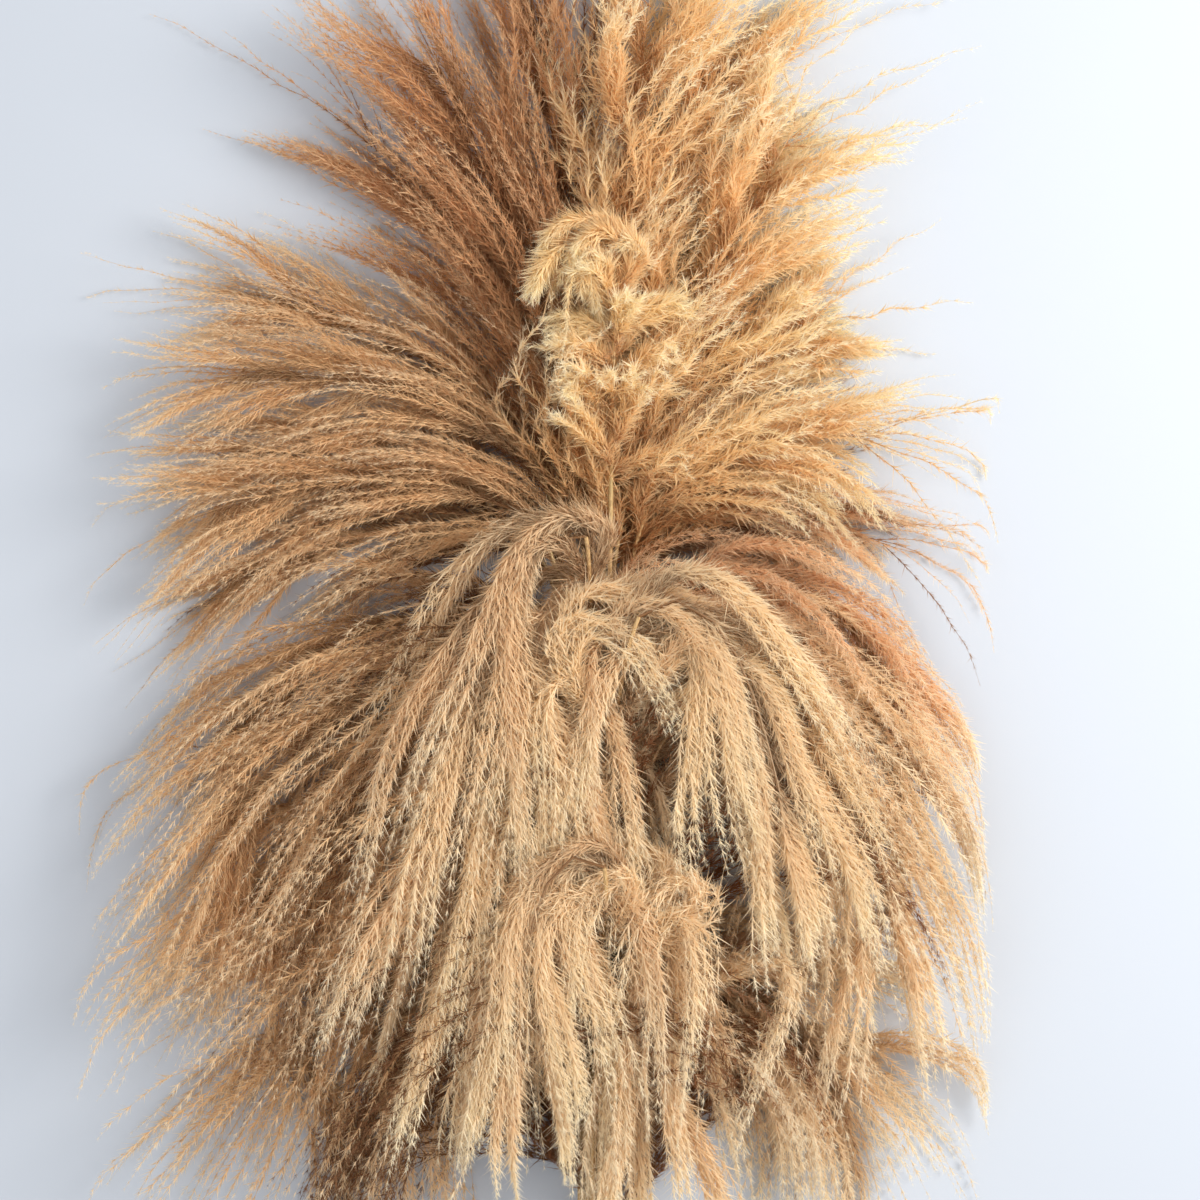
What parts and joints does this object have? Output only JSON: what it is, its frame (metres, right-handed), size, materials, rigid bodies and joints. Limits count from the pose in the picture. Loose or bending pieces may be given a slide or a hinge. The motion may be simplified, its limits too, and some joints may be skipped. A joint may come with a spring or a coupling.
{
  "type": "bundle of dried pampas grass",
  "caption": "Tied bundle of dried pampas grass lying on its back: tall plumes fan out above, pale plumes arch over the front and both sides.",
  "frame": {"origin": "on the floor under the middle of the bundle's bounding box", "axes": "+Y from the cut stem ends towards the tallest plumes, +Z up from the floor the bundle lies on, +X to its right seen from above with +Y up"},
  "size_m": [0.8834, 1.6788, 0.2078],
  "materials": {
    "plume_brown": "silky, matt",
    "plume_gold": "silky, matt",
    "plume_tan": "silky, matt",
    "plume_russet": "silky, matt",
    "plume_cream": "silky, matt",
    "straw_stem": "smooth dry straw",
    "twine": "rough jute"
  },
  "bodies": {
    "root": {"stem_upper_left_1": "straw_stem", "plume_upper_left_1": "plume_brown", "stem_upper_left_2": "straw_stem", "plume_upper_left_2": "plume_brown", "stem_upper_left_3": "straw_stem", "plume_upper_left_3": "plume_brown", "stem_upper_right_1": "straw_stem", "plume_upper_right_1": "plume_gold", "stem_upper_right_2": "straw_stem", "plume_upper_right_2": "plume_gold", "stem_upper_right_3": "straw_stem", "plume_upper_right_3": "plume_gold", "stem_upper_right_4": "straw_stem", "plume_upper_right_4": "plume_gold", "stem_upper_front": "straw_stem", "plume_upper_front": "plume_gold", "stem_left_fan_1": "straw_stem", "plume_left_fan_1": "plume_tan", "stem_left_fan_2": "straw_stem", "plume_left_fan_2": "plume_tan", "stem_left_fan_3": "straw_stem", "plume_left_fan_3": "plume_tan", "stem_left_fan_4": "straw_stem", "plume_left_fan_4": "plume_tan", "stem_left_fan_5": "straw_stem", "plume_left_fan_5": "plume_tan", "stem_lower_left_1": "straw_stem", "plume_lower_left_1": "plume_tan", "stem_lower_left_2": "straw_stem", "plume_lower_left_2": "plume_tan", "stem_lower_left_3": "straw_stem", "plume_lower_left_3": "plume_tan", "stem_lower_left_4": "straw_stem", "plume_lower_left_4": "plume_tan", "stem_right_1": "straw_stem", "plume_right_1": "plume_gold", "stem_right_2": "straw_stem", "plume_right_2": "plume_russet", "stem_right_3": "straw_stem", "plume_right_3": "plume_russet", "stem_right_4": "straw_stem", "plume_right_4": "plume_cream", "stem_right_5": "straw_stem", "plume_right_5": "plume_cream", "stem_right_6": "straw_stem", "plume_right_6": "plume_cream", "stem_centre_1": "straw_stem", "plume_centre_1": "plume_cream", "stem_centre_2": "straw_stem", "plume_centre_2": "plume_cream", "stem_centre_3": "straw_stem", "plume_centre_3": "plume_cream", "stem_centre_4": "straw_stem", "plume_centre_4": "plume_cream", "stem_centre_5": "straw_stem", "plume_centre_5": "plume_cream", "stem_centre_6": "straw_stem", "plume_centre_6": "plume_cream", "twine_tie": "twine"}
  },
  "joints": []
}
